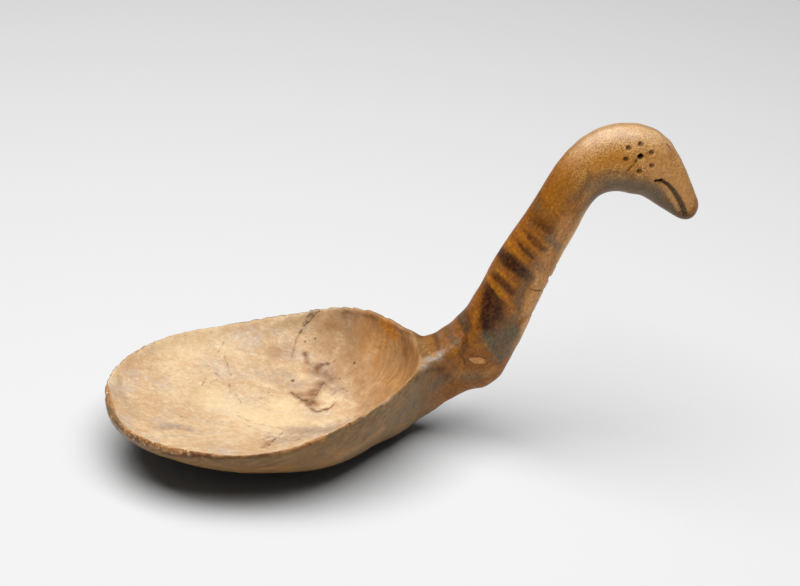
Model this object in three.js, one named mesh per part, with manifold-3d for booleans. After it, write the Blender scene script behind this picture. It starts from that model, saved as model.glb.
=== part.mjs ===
// A carved feast ladle: one billet of hardwood, hollowed at one end to a wide oval bowl and drawn out
// at the other to a neck that rises from a sharp elbow and turns over into an animal's head.
// Lengths are millimetres and angles degrees. X runs from the bowl's lip to the snout, Y runs across
// the ladle and Z is up. The origin is the middle of the flat that the bowl stands on.

import * as THREE from "three";
import { mergeVertices } from "three/addons/utils/BufferGeometryUtils.js";
import Module from "manifold-3d";

const wasm = await Module();
wasm.setup();

// The bowl, measured outside
const BOWL_LENGTH = 174; // lip to saddle, where the rim meets the neck
const BOWL_WIDTH = 148;
const BOWL_WIDEST_AT = 86; // from the lip
const LIP_FULLNESS = 2.19; // superellipse power of the rim's outline in front
const REAR_FULLNESS = 1.78; // and behind its widest place
const LIP_HEIGHT = 35.6; // rim above the standing flat, along the front of the bowl
const SADDLE_HEIGHT = 52; // rim above the standing flat, at the neck
const RIM_RISE_START = 64; // from the lip
const RIM_EDGE = 2.8; // height of the rim's upright edge in front, which dies out at the saddle
const RIM_SECTION = 10; // superellipse power of that edge
const PROW_LENGTH = 112; // the lip's underside curves down to the floor within this length
const PROW_FULLNESS = 2.4;

// Superellipse powers of the bowl's cross-sections, from the flared lip to the sharp keel
const LIP_SECTION = 1.35;
const BELLY_SECTION = 1.84;
const REAR_SECTION = 2.13;
const KEEL_SECTION = 1.6;

// The flat that the bowl stands on, planed off the belly
const FLAT_DEPTH = 1.6; // wood taken off
const FLAT_MIDDLE_AT = 108; // from the lip

// The hollow of the bowl
const LIP_WALL = 5; // rim's thickness in front
const SIDE_WALL = 4;
const SADDLE_WALL = 6; // the hollow stops this far short of the saddle
const FLOOR_THICKNESS = 15;
const HOLLOW_REAR_FULLNESS = 2; // superellipse power of its outline behind
const HOLLOW_FRONT_RUN = 100; // the floor rises to the lip within this length
const HOLLOW_BACK_RUN = 52; // and to the saddle within this one
const HOLLOW_BACK_FULLNESS = 2.2;
const HOLLOW_CLEARANCE = 12; // the hollowing cut is open this far above the rim

// The saddle, where the bowl runs into the neck over a keel
const KEEL_RUN = 24; // the underside leaves the floor this far short of the saddle
const KEEL_SWEEP = 1.14; // power of the keel's rise
const SADDLE_WIDTH = 25;
const SADDLE_CROWN = 1.2; // neck's top above the rim's level
const SADDLE_DEPTH = 39.8; // keel below the rim's level
const SADDLE_BLEND = 8; // the bowl's sides are eased into the neck's over this length each way
const SADDLE_SECTION = 2.4; // superellipse power of the neck's flat top there
const NECK_SECTION = 2;

// The line that the neck and the head follow, from the saddle to the snout
const SADDLE_PITCH = 5;
const SHOULDER_LENGTH = 8.4;
const ELBOW_RADIUS = 40;
const NECK_PITCH = 61.6;
const NECK_LENGTH = 76;
const CROOK_RADIUS = 29;
const SNOUT_PITCH = -55.6;
const SNOUT_LENGTH = 28.3;

// Sections across that line: how far the wood reaches above it and below it, and its width
const SHOULDER_TOP = 2.3;
const SHOULDER_BOTTOM = 30.8;
const SHOULDER_WIDTH = 27;
const HEEL_TOP = 10.6;
const HEEL_BOTTOM = 32.7;
const HEEL_WIDTH = 27;
const ELBOW_TOP = 13.8;
const ELBOW_BOTTOM = 26;
const ELBOW_WIDTH = 26.5;
const NECK_ROOT_DEPTH = 34.6;
const NECK_ROOT_WIDTH = 25.5;
const NECK_TOP_DEPTH = 28.8;
const NECK_TOP_WIDTH = 23.5;
const CROWN_TOP = 20.6;
const CROWN_BOTTOM = 17.5;
const CROWN_WIDTH = 27.5;
const BROW_TOP = 19.1;
const BROW_BOTTOM = 17.8;
const BROW_WIDTH = 28;
const SNOUT_ROOT_TOP = 13.4;
const SNOUT_ROOT_BOTTOM = 14.3;
const SNOUT_ROOT_WIDTH = 23;
const SNOUT_TIP_TOP = 6.7;
const SNOUT_TIP_BOTTOM = 5.2;
const SNOUT_TIP_WIDTH = 14;
const SNOUT_ROUNDING = 6; // length of the rounded end

// The eyes, drilled into both sides of the head
const EYE_PITCH = -14; // heading of the line at the eye
const EYE_RAISE = 6.6; // eye above the line
const PUPIL_DIAMETER = 2.7;
const PUPIL_DEPTH = 7;
const PIT_COUNT = 6;
const PIT_RING_DIAMETER = 14;
const PIT_DIAMETER = 2.4;
const PIT_DEPTH = 1.6;

// The mouth, a groove along both sides of the snout
const MOUTH_WIDTH = 1.8;
const MOUTH_DEPTH = 1.8;
const MOUTH_BACK = 9; // its corner lies this far behind the snout's root
const MOUTH_FRONT = 6; // it stops this far short of the snout's end
const MOUTH_DROP = 1.6; // both ends turn down from the line by this much

// The pale knot in the elbow's near side
const KNOT_LENGTH = 10.5;
const KNOT_WIDTH = 4.6;
const KNOT_DEPTH = 5;
const KNOT_PITCH = -20;
const KNOT_PAST_SADDLE = 21.8; // along the line
const KNOT_BELOW_LINE = 8.7;

// The filled drying split in the far rim
const SPLIT_AT = 121; // from the lip, at the rim
const SPLIT_WIDTH = 3.6;
const SPLIT_LENGTH = 17; // down the wall
const SPLIT_LEAN = 38; // towards the lip

const SEAT_GAP = 0.3; // between a let-in piece and its pocket

// Facets
const RING_POINTS = 44;
const BOWL_STATIONS = 34;
const HANDLE_STEP = 6.5;
const HOLLOW_STATIONS = 26;

const radians = THREE.MathUtils.degToRad;

function signedPower(value, power) {
  return Math.sign(value) * Math.abs(value) ** power;
}

// A smooth curve through stations of [place, value], flat beyond its ends.
function profile(stations) {
  const slope = stations.map((_, i) => {
    const before = stations[Math.max(i - 1, 0)];
    const after = stations[Math.min(i + 1, stations.length - 1)];
    return (after[1] - before[1]) / (after[0] - before[0]);
  });
  return (place) => {
    const last = stations.length - 1;
    if (place <= stations[0][0]) return stations[0][1];
    if (place >= stations[last][0]) return stations[last][1];
    const i = stations.findIndex((station) => station[0] > place) - 1;
    const span = stations[i + 1][0] - stations[i][0];
    const t = (place - stations[i][0]) / span;
    const rise = stations[i + 1][1] - stations[i][1];
    const ease = t * t * (3 - 2 * t);
    return stations[i][1] + rise * ease
      + span * (slope[i] * t * (1 - t) ** 2 - slope[i + 1] * t * t * (1 - t));
  };
}

// One closed cross-section: a superellipse whose upper and lower halves have their own heights.
function ring({ x, z, pitch, half, top, bottom, topPower, bottomPower }) {
  const points = [];
  for (let i = 0; i < RING_POINTS; i++) {
    const angle = (2 * Math.PI * i) / RING_POINTS;
    const upper = i < RING_POINTS / 2;
    const power = 2 / (upper ? topPower : bottomPower);
    const across = half * signedPower(Math.cos(angle), power);
    const height = (upper ? top : bottom) * signedPower(Math.sin(angle), power);
    points.push(new THREE.Vector3(x - height * Math.sin(pitch), across, z + height * Math.cos(pitch)));
  }
  return points;
}

// A closed skin over a row of cross-sections, drawn to a point at each end.
function loft(first, stations, last) {
  const positions = [first.x, first.y, first.z];
  const triangles = [];
  for (const station of stations) {
    for (const point of ring(station)) {
      positions.push(point.x, point.y, point.z);
    }
  }
  positions.push(last.x, last.y, last.z);
  const end = positions.length / 3 - 1;
  const at = (row, i) => 1 + row * RING_POINTS + (i % RING_POINTS);
  const lastRow = stations.length - 1;
  for (let i = 0; i < RING_POINTS; i++) {
    triangles.push(0, at(0, i + 1), at(0, i));
    triangles.push(end, at(lastRow, i), at(lastRow, i + 1));
    for (let row = 0; row < lastRow; row++) {
      triangles.push(at(row, i), at(row, i + 1), at(row + 1, i + 1));
      triangles.push(at(row, i), at(row + 1, i + 1), at(row + 1, i));
    }
  }
  const geometry = new THREE.BufferGeometry();
  geometry.setAttribute("position", new THREE.Float32BufferAttribute(positions, 3));
  geometry.setIndex(triangles);
  return geometry;
}

function solid(geometry) {
  const bare = geometry.clone();
  bare.deleteAttribute("normal");
  bare.deleteAttribute("uv");
  const merged = mergeVertices(bare, 1e-5);
  return new wasm.Manifold(new wasm.Mesh({
    numProp: 3,
    vertProperties: new Float32Array(merged.attributes.position.array),
    triVerts: new Uint32Array(merged.index.array),
  }));
}

function surface(body) {
  const mesh = body.getMesh();
  const geometry = new THREE.BufferGeometry();
  geometry.setAttribute("position", new THREE.Float32BufferAttribute(mesh.vertProperties, 3));
  geometry.setIndex(Array.from(mesh.triVerts));
  geometry.computeVertexNormals();
  return geometry;
}

// The rim's outline, half the bowl's width at a distance from the lip.
function ovalHalfWidth(x, front, length, halfWidth, rearPower) {
  const run = x < front ? (front - x) / front : (x - front) / (length - front);
  const power = x < front ? LIP_FULLNESS : rearPower;
  return halfWidth * (1 - Math.min(run, 1) ** power) ** (1 / power);
}

function rimHeight(x) {
  const rise = THREE.MathUtils.smoothstep(x, RIM_RISE_START, BOWL_LENGTH - SADDLE_WALL);
  return LIP_HEIGHT + (SADDLE_HEIGHT - LIP_HEIGHT) * rise;
}

// The line from the saddle to the snout: a straight shoulder, the elbow's bend, the straight neck,
// the crook and the straight snout.
const elbowLength = ELBOW_RADIUS * radians(NECK_PITCH - SADDLE_PITCH);
const crookLength = CROOK_RADIUS * radians(NECK_PITCH - SNOUT_PITCH);
const neckRoot = SHOULDER_LENGTH + elbowLength;
const neckTop = neckRoot + NECK_LENGTH;
const crown = neckTop + CROOK_RADIUS * radians(NECK_PITCH);
const snoutRoot = neckTop + crookLength;
const snoutEnd = snoutRoot + SNOUT_LENGTH;

function alongLine(distance) {
  const place = { x: BOWL_LENGTH, z: SADDLE_HEIGHT, pitch: radians(SADDLE_PITCH) };
  const straight = (length) => {
    place.x += length * Math.cos(place.pitch);
    place.z += length * Math.sin(place.pitch);
  };
  const bend = (radius, turn) => {
    const side = Math.sign(turn);
    place.x -= side * radius * Math.sin(place.pitch);
    place.z += side * radius * Math.cos(place.pitch);
    place.pitch += turn;
    place.x += side * radius * Math.sin(place.pitch);
    place.z -= side * radius * Math.cos(place.pitch);
  };
  straight(Math.min(distance, SHOULDER_LENGTH));
  if (distance > SHOULDER_LENGTH) {
    bend(ELBOW_RADIUS, (Math.min(distance, neckRoot) - SHOULDER_LENGTH) / ELBOW_RADIUS);
  }
  if (distance > neckRoot) {
    straight(Math.min(distance, neckTop) - neckRoot);
  }
  if (distance > neckTop) {
    bend(CROOK_RADIUS, -(Math.min(distance, snoutRoot) - neckTop) / CROOK_RADIUS);
  }
  if (distance > snoutRoot) {
    straight(distance - snoutRoot);
  }
  return place;
}

const heel = SHOULDER_LENGTH + elbowLength * 0.27;
const elbowMiddle = SHOULDER_LENGTH + elbowLength * 0.55;
const brow = (crown + snoutRoot) / 2;
const handleTop = profile([
  [0, SADDLE_CROWN],
  [SHOULDER_LENGTH, SHOULDER_TOP],
  [heel, HEEL_TOP],
  [elbowMiddle, ELBOW_TOP],
  [neckRoot, NECK_ROOT_DEPTH / 2],
  [neckTop, NECK_TOP_DEPTH / 2],
  [crown, CROWN_TOP],
  [brow, BROW_TOP],
  [snoutRoot, SNOUT_ROOT_TOP],
  [snoutEnd, SNOUT_TIP_TOP],
]);
const handleBottom = profile([
  [0, SADDLE_DEPTH],
  [SHOULDER_LENGTH, SHOULDER_BOTTOM],
  [heel, HEEL_BOTTOM],
  [elbowMiddle, ELBOW_BOTTOM],
  [neckRoot, NECK_ROOT_DEPTH / 2],
  [neckTop, NECK_TOP_DEPTH / 2],
  [crown, CROWN_BOTTOM],
  [brow, BROW_BOTTOM],
  [snoutRoot, SNOUT_ROOT_BOTTOM],
  [snoutEnd, SNOUT_TIP_BOTTOM],
]);
const handleHalf = profile([
  [0, SADDLE_WIDTH / 2],
  [SHOULDER_LENGTH, SHOULDER_WIDTH / 2],
  [heel, HEEL_WIDTH / 2],
  [elbowMiddle, ELBOW_WIDTH / 2],
  [neckRoot, NECK_ROOT_WIDTH / 2],
  [neckTop, NECK_TOP_WIDTH / 2],
  [crown, CROWN_WIDTH / 2],
  [brow, BROW_WIDTH / 2],
  [snoutRoot, SNOUT_ROOT_WIDTH / 2],
  [snoutEnd, SNOUT_TIP_WIDTH / 2],
]);

const handleTopPower = profile([
  [0, SADDLE_SECTION],
  [neckRoot, NECK_SECTION],
]);

const keelStart = BOWL_LENGTH - KEEL_RUN;
const sectionPower = profile([
  [0, LIP_SECTION],
  [BOWL_WIDEST_AT, BELLY_SECTION],
  [(BOWL_WIDEST_AT + keelStart) / 2, REAR_SECTION],
  [keelStart, KEEL_SECTION],
  [BOWL_LENGTH, NECK_SECTION],
]);

// The upright edge left under the rim.
function rimEdge(x) {
  return RIM_EDGE * (1 - THREE.MathUtils.smoothstep(x, BOWL_WIDEST_AT, BOWL_LENGTH));
}

// How far a floor has come down, from 0 at the lip to 1 at the end of its run.
function prow(x, run) {
  return (1 - Math.max(1 - x / run, 0) ** PROW_FULLNESS) ** (1 / PROW_FULLNESS);
}

// The bowl's sections stand upright across X, under the rim's line.
function bowlSection(x) {
  const oval = ovalHalfWidth(x, BOWL_WIDEST_AT, BOWL_LENGTH, BOWL_WIDTH / 2, REAR_FULLNESS);
  const neck = SADDLE_WIDTH / 2 * THREE.MathUtils.smoothstep(x, BOWL_WIDEST_AT, BOWL_LENGTH);
  const keel = Math.max(x - keelStart, 0) / KEEL_RUN;
  const keelRise = (SADDLE_HEIGHT - SADDLE_DEPTH + FLAT_DEPTH) * keel ** KEEL_SWEEP;
  return {
    half: (oval ** 4 + neck ** 4) ** 0.25,
    top: rimEdge(x),
    bottom: (rimHeight(x) - rimEdge(x) + FLAT_DEPTH) * prow(x, PROW_LENGTH) - keelRise,
    topPower: RIM_SECTION + (SADDLE_SECTION - RIM_SECTION) * x / BOWL_LENGTH,
    bottomPower: sectionPower(x),
  };
}

// The handle's sections stand square across its line, and close in at the snout's rounded end.
function handleSection(distance) {
  const tip = Math.max(distance - (snoutEnd - SNOUT_ROUNDING), 0) / SNOUT_ROUNDING;
  const round = Math.sqrt(1 - tip ** 2);
  return {
    half: handleHalf(distance) * round,
    top: handleTop(distance) * round,
    bottom: handleBottom(distance) * round,
    topPower: handleTopPower(distance),
    bottomPower: NECK_SECTION,
  };
}

// A station of the whole billet, measured from the saddle: negative in the bowl, positive in the
// handle. Near the saddle it is the mean of the sections around it.
function billetStation(distance) {
  const reach = SADDLE_BLEND * Math.max(1 - Math.abs(distance) / (3 * SADDLE_BLEND), 0);
  const samples = [-1, -0.5, 0, 0.5, 1].map((share) => {
    const at = distance + share * reach;
    return at < 0 ? bowlSection(BOWL_LENGTH + at) : handleSection(at);
  });
  const x = BOWL_LENGTH + distance;
  const place = distance < 0 ? { x, z: rimHeight(x) - rimEdge(x), pitch: 0 } : alongLine(distance);
  for (const size of Object.keys(samples[0])) {
    place[size] = samples.reduce((sum, sample) => sum + sample[size], 0) / samples.length;
  }
  return place;
}

function billetStations() {
  const stations = [];
  for (let i = 1; i < BOWL_STATIONS; i++) {
    const t = i / BOWL_STATIONS;
    stations.push(billetStation(BOWL_LENGTH * (1 - Math.cos(Math.PI * t / 2)) ** 0.86 - BOWL_LENGTH));
  }
  const roundStart = snoutEnd - SNOUT_ROUNDING;
  const steps = Math.ceil(roundStart / HANDLE_STEP);
  for (let i = 0; i <= steps; i++) {
    stations.push(billetStation(roundStart * i / steps));
  }
  for (const turn of [30, 55, 75]) {
    stations.push(billetStation(roundStart + SNOUT_ROUNDING * Math.sin(radians(turn))));
  }
  return stations;
}

const lip = new THREE.Vector3(0, 0, rimHeight(0) - rimEdge(0));
const snout = alongLine(snoutEnd);
const billet = solid(loft(lip, billetStations(), new THREE.Vector3(snout.x, 0, snout.z)));

// The hollow: the bowl's oval drawn in by the wall, with a floor that rises to the lip and the saddle.
const hollowLength = BOWL_LENGTH - LIP_WALL - SADDLE_WALL;
const hollowWidest = BOWL_WIDEST_AT - LIP_WALL;
const hollowHalf = BOWL_WIDTH / 2 - SIDE_WALL;

function hollowStation(run) {
  const x = LIP_WALL + run;
  const back = Math.max(1 - (hollowLength - run) / HOLLOW_BACK_RUN, 0);
  const rise = (1 - back ** HOLLOW_BACK_FULLNESS) ** (1 / HOLLOW_BACK_FULLNESS);
  return {
    x,
    z: rimHeight(x),
    pitch: 0,
    half: ovalHalfWidth(run, hollowWidest, hollowLength, hollowHalf, HOLLOW_REAR_FULLNESS),
    top: HOLLOW_CLEARANCE,
    bottom: (rimHeight(x) - FLOOR_THICKNESS) * prow(run, HOLLOW_FRONT_RUN) * rise,
    topPower: 8,
    bottomPower: sectionPower(x),
  };
}

function hollowStations() {
  const stations = [];
  for (let i = 1; i < HOLLOW_STATIONS; i++) {
    stations.push(hollowStation(hollowLength * (1 - Math.cos(Math.PI * i / HOLLOW_STATIONS)) / 2));
  }
  return stations;
}

const hollowEnd = LIP_WALL + hollowLength;
const hollow = solid(loft(
  new THREE.Vector3(LIP_WALL, 0, rimHeight(LIP_WALL)),
  hollowStations(),
  new THREE.Vector3(hollowEnd, 0, rimHeight(hollowEnd)),
));

// Everything below the standing flat is planed away.
const planing = new THREE.BoxGeometry(3 * BOWL_LENGTH, 2 * BOWL_WIDTH, 4 * FLAT_DEPTH);
planing.translate(BOWL_LENGTH, 0, -2 * FLAT_DEPTH);

// A place beside the line, raised square to it.
function besideLine(distance, raise) {
  const place = alongLine(distance);
  place.x -= raise * Math.sin(place.pitch);
  place.z += raise * Math.cos(place.pitch);
  return place;
}

// Half the handle's width at a height above (or below) its line.
function skinAt(distance, raise) {
  const reach = raise > 0 ? handleTop(distance) : handleBottom(distance);
  return handleHalf(distance) * Math.sqrt(Math.max(1 - (raise / reach) ** 2, 0));
}

// A round drill hole from the near side (-1) or the far side (+1) of the head.
function drilled(side, distance, raise, diameter, depth) {
  const place = besideLine(distance, raise);
  const bit = new THREE.CylinderGeometry(diameter / 2, diameter / 2, depth * 2, 10);
  bit.translate(place.x, side * skinAt(distance, raise), place.z);
  return solid(bit);
}

const eyeAt = neckTop + CROOK_RADIUS * radians(NECK_PITCH - EYE_PITCH);

function eye(side) {
  const holes = [drilled(side, eyeAt, EYE_RAISE, PUPIL_DIAMETER, PUPIL_DEPTH)];
  for (let i = 0; i < PIT_COUNT; i++) {
    const angle = (2 * Math.PI * i) / PIT_COUNT;
    const ahead = PIT_RING_DIAMETER / 2 * Math.cos(angle);
    const above = PIT_RING_DIAMETER / 2 * Math.sin(angle);
    const stretch = CROOK_RADIUS / (CROOK_RADIUS + EYE_RAISE + above);
    holes.push(drilled(side, eyeAt + ahead * stretch, EYE_RAISE + above, PIT_DIAMETER, PIT_DEPTH));
  }
  return holes;
}

// The mouth: a slat through the snout, less the wood deeper than the groove.
function mouth() {
  const corner = snoutRoot - MOUTH_BACK;
  const front = snoutEnd - MOUTH_FRONT;
  const drop = profile([[corner, MOUTH_DROP], [(corner + front) / 2, 0], [front, MOUTH_DROP]]);
  const slat = [];
  const core = [];
  const steps = 8;
  for (let i = 0; i <= steps; i++) {
    const distance = corner + (front - corner) * i / steps;
    const place = besideLine(distance, -drop(distance));
    const half = skinAt(distance, -drop(distance));
    const lips = { top: MOUTH_WIDTH / 2, bottom: MOUTH_WIDTH / 2, topPower: 4, bottomPower: 4 };
    const inside = { top: 2 * MOUTH_WIDTH, bottom: 2 * MOUTH_WIDTH, topPower: 8, bottomPower: 8 };
    slat.push({ ...place, ...lips, half: half + MOUTH_DEPTH });
    core.push({ ...place, ...inside, half: half - MOUTH_DEPTH });
  }
  const ends = [corner - MOUTH_WIDTH, front + MOUTH_WIDTH].map((distance) => {
    const place = besideLine(distance, -MOUTH_DROP);
    return new THREE.Vector3(place.x, 0, place.z);
  });
  return solid(loft(ends[0], slat, ends[1])).subtract(solid(loft(ends[0], core, ends[1])));
}

// The knot's seat: an upright oval driven in from the near side, a little larger for its pocket.
function knotBlank(extra) {
  const place = besideLine(KNOT_PAST_SADDLE, -KNOT_BELOW_LINE);
  const blank = new THREE.CylinderGeometry(1, 1, 2 * (KNOT_DEPTH + extra), 20);
  blank.scale(KNOT_LENGTH / 2 + extra, 1, KNOT_WIDTH / 2 + extra);
  blank.rotateY(-radians(KNOT_PITCH));
  blank.translate(place.x, -skinAt(KNOT_PAST_SADDLE, -KNOT_BELOW_LINE), place.z);
  return solid(blank);
}

// The split's wedge: it opens at the rim and runs to nothing down the far wall.
function splitBlank(extra) {
  const open = SPLIT_WIDTH / 2 + extra;
  const closed = SPLIT_WIDTH / 8 + extra;
  const outline = new THREE.Shape();
  outline.moveTo(-open, HOLLOW_CLEARANCE);
  outline.lineTo(-open, 0);
  outline.lineTo(-closed, -SPLIT_LENGTH - extra);
  outline.lineTo(closed, -SPLIT_LENGTH - extra);
  outline.lineTo(open, 0);
  outline.lineTo(open, HOLLOW_CLEARANCE);
  const wedge = new THREE.ExtrudeGeometry(outline, { depth: BOWL_WIDTH / 2, bevelEnabled: false });
  wedge.rotateX(Math.PI / 2);
  wedge.rotateY(radians(SPLIT_LEAN));
  wedge.translate(SPLIT_AT, BOWL_WIDTH / 2 + SIDE_WALL, rimHeight(SPLIT_AT));
  return solid(wedge);
}

const whole = billet.subtract(hollow).subtract(solid(planing));
let carving = whole.subtract(mouth());
for (const side of [-1, 1]) {
  for (const hole of eye(side)) {
    carving = carving.subtract(hole);
  }
}
carving = carving.subtract(knotBlank(SEAT_GAP)).subtract(splitBlank(SEAT_GAP));

function wood(colour, roughness) {
  return new THREE.MeshStandardMaterial({ color: colour, roughness, metalness: 0 });
}

function piece(name, body, material) {
  const mesh = new THREE.Mesh(surface(body), material);
  mesh.name = name;
  return mesh;
}

const ladle = new THREE.Group();
ladle.add(piece("ladle_carving", carving, wood(0x9a6c3f, 0.5)));
ladle.add(piece("elbow_knot", whole.intersect(knotBlank(0)), wood(0xc49a66, 0.5)));
ladle.add(piece("rim_split_fill", whole.intersect(splitBlank(0)), wood(0x5a4636, 0.85)));
ladle.position.x = -FLAT_MIDDLE_AT;

export default ladle;
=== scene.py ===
import math

import bpy
import numpy as np
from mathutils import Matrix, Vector
from mathutils import noise as ripple


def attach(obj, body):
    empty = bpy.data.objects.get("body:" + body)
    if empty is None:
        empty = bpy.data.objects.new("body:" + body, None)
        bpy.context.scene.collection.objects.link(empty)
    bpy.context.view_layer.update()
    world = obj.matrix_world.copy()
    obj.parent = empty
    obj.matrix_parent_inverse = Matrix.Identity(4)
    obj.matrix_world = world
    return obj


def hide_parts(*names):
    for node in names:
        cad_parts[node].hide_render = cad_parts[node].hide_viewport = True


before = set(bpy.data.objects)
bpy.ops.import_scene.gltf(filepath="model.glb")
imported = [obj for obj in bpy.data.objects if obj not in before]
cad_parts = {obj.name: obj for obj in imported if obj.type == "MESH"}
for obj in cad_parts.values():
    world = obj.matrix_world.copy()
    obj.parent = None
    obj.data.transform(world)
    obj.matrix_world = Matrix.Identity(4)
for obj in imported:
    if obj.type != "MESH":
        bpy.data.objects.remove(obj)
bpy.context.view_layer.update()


# The ladle: bowl, keel, neck and head carved from one crook of pale, figured hardwood.
# It was hewn and hollowed with a curved knife, scraped smooth, and is worn and handled dark on the neck.
def pick_only(obj):
    bpy.ops.object.select_all(action="DESELECT")
    obj.select_set(True)
    bpy.context.view_layer.objects.active = obj


def apply_modifier(obj, kind, **settings):
    pick_only(obj)
    modifier = obj.modifiers.new(kind.lower(), kind)
    for setting, value in settings.items():
        setattr(modifier, setting, value)
    bpy.ops.object.modifier_apply(modifier=modifier.name)


def remesh(obj, voxel):
    apply_modifier(obj, "REMESH", mode="VOXEL", voxel_size=voxel, use_smooth_shade=True)


def smooth(obj, rounds, factor=0.5, **limits):
    apply_modifier(obj, "SMOOTH", factor=factor, iterations=rounds, **limits)


MERGE_REACH = 0.00001


def copy_of_node(node, name):
    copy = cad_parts[node].copy()
    copy.data = copy.data.copy()
    copy.name = name
    copy.data.name = name
    copy.data.materials.clear()
    bpy.context.collection.objects.link(copy)
    copy.parent = None
    pick_only(copy)
    bpy.ops.object.mode_set(mode="EDIT")
    bpy.ops.mesh.select_all(action="SELECT")
    bpy.ops.mesh.remove_doubles(threshold=MERGE_REACH)
    bpy.ops.object.mode_set(mode="OBJECT")
    return copy


# Places are millimetres, as they were measured on the ladle.
MM = 1000


def places_of(obj):
    flat = np.empty(len(obj.data.vertices) * 3)
    obj.data.vertices.foreach_get("co", flat)
    return flat.reshape(-1, 3) * MM


def put_places(obj, places):
    obj.data.vertices.foreach_set("co", (places / MM).ravel())
    obj.data.update()


def normals_of(obj):
    flat = np.empty(len(obj.data.vertices) * 3, dtype=np.float32)
    obj.data.vertex_normals.foreach_get("vector", flat)
    return flat.reshape(-1, 3).astype(float)


def ease(low, high, values):
    t = np.clip((values - low) / (high - low), 0, 1)
    return t * t * (3 - 2 * t)


def dab(strength, inner, outer, reach):
    return strength * (1 - ease(inner, outer, reach))


def gap_to(places, place):
    return np.linalg.norm(places - place, axis=1)


SHORTEST_RUN = 1e-9


def distance_to(places, line):
    nearest = np.full(len(places), np.inf)
    for start, end in zip(line, line[1:]):
        start = np.array(start, float)
        run = np.array(end, float) - start
        t = np.clip((places - start) @ run / max(run @ run, SHORTEST_RUN), 0, 1)
        nearest = np.minimum(nearest, np.linalg.norm(places - start - t[:, None] * run, axis=1))
    return nearest


CARVING_VOXEL = 0.00135
carving = copy_of_node("ladle_carving", "ladle_carving_worn")
plugs = [copy_of_node(node, node + "_blank") for node in ("elbow_knot", "rim_split_fill")]
pick_only(carving)
for plug in plugs:
    plug.select_set(True)
bpy.ops.object.join()
remesh(carving, CARVING_VOXEL)

# The rim runs round the bowl and rises towards the handle. Its inner edge is worn away in front.
RIM_LENGTH = 174
RIM_LIP_AT = -108
RIM_WIDEST = 86
RIM_HALF = 74
RIM_LOW = 35.6
RIM_RISE = 16.4
RIM_RISES_FROM = 64
RIM_RISES_TO = 168
RIM_FRONT_POWER = 2.19
RIM_BACK_POWER = 1.78
RIM_STEPS = 60
RIM_INSET = 1.2
ABOVE_HOLLOW = np.array((-12, 0, 75))


def rim_height(x):
    return RIM_LOW + RIM_RISE * ease(RIM_RISES_FROM, RIM_RISES_TO, np.asarray(x) - RIM_LIP_AT)


def rim_line(inset=0.0):
    line = []
    middle = RIM_LIP_AT + RIM_WIDEST
    shrink = 1 - inset / RIM_HALF
    for turn in np.linspace(0, math.pi, RIM_STEPS):
        along = RIM_LENGTH * (1 - math.cos(turn)) / 2
        if along < RIM_WIDEST:
            run = (RIM_WIDEST - along) / RIM_WIDEST
            power = RIM_FRONT_POWER
        else:
            run = (along - RIM_WIDEST) / (RIM_LENGTH - RIM_WIDEST)
            power = RIM_BACK_POWER
        half = RIM_HALF * (1 - min(run, 1) ** power) ** (1 / power)
        x = along + RIM_LIP_AT
        line.append(((x - middle) * shrink + middle, half * shrink, float(rim_height(x)) - inset / 2))
    return line + [(x, -y, z) for x, y, z in reversed(line)]


def hollow_share(places, normals):
    inward = ABOVE_HOLLOW - places
    facing = (inward * normals).sum(1) / np.linalg.norm(inward, axis=1)
    return ease(-0.15, 0.3, facing) * (1 - ease(58, 64, places[:, 0]))


WEIGHT_STEPS = 20


def weigh(obj, name, weights):
    group = obj.vertex_groups.new(name=name)
    for step in range(1, WEIGHT_STEPS + 1):
        chosen = np.flatnonzero(np.round(weights * WEIGHT_STEPS) == step)
        if len(chosen):
            group.add([int(i) for i in chosen], step / WEIGHT_STEPS, "REPLACE")
    return group.name


# Smoothing shrinks the wood, and a swelling turn after it brings the size back.
def scrape(obj, rounds, swell=-0.52, swell_turns=9, **limits):
    for _ in range(rounds):
        smooth(obj, 10, **limits)
        smooth(obj, swell_turns, swell, **limits)


WEAR_DEPTH = 12.5
WEAR_STARTS = 1.2
WEAR_WIDTH = 8.5
places = places_of(carving)
edge_reach = distance_to(places * (1, 1, 0), [(x, y, 0) for x, y, z in rim_line()])
worn_away = WEAR_DEPTH * (1 - np.exp(-np.maximum(edge_reach - WEAR_STARTS, 0) / WEAR_WIDTH))
worn_height = rim_height(places[:, 0]) - worn_away
wear = hollow_share(places, normals_of(carving)) * (1 - ease(20, 50, places[:, 0]))
places[:, 2] += wear * np.minimum(worn_height - places[:, 2], 0)
put_places(carving, places)

# The facets are scraped away; the rim keeps most of its edge.
scrape(carving, 3)
rim_reach = distance_to(places_of(carving), rim_line(RIM_INSET))
broad = weigh(carving, "broad", 0.5 + 0.5 * ease(2, 9, rim_reach))
scrape(carving, 8, vertex_group=broad)
places = places_of(carving)
held = weigh(carving, "held", ease(74, 90, places[:, 0]) * (1 - ease(165, 190, places[:, 0])))
scrape(carving, 10, swell=-0.505, swell_turns=10, vertex_group=held)
places = places_of(carving)
near_rim = 1 - ease(4, 9, distance_to(places, rim_line(RIM_INSET)))
rolled = weigh(carving, "rolled", near_rim * ease(46, 57, places[:, 0]))
smooth(carving, 16, vertex_group=rolled)
smooth(carving, 3)

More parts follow.
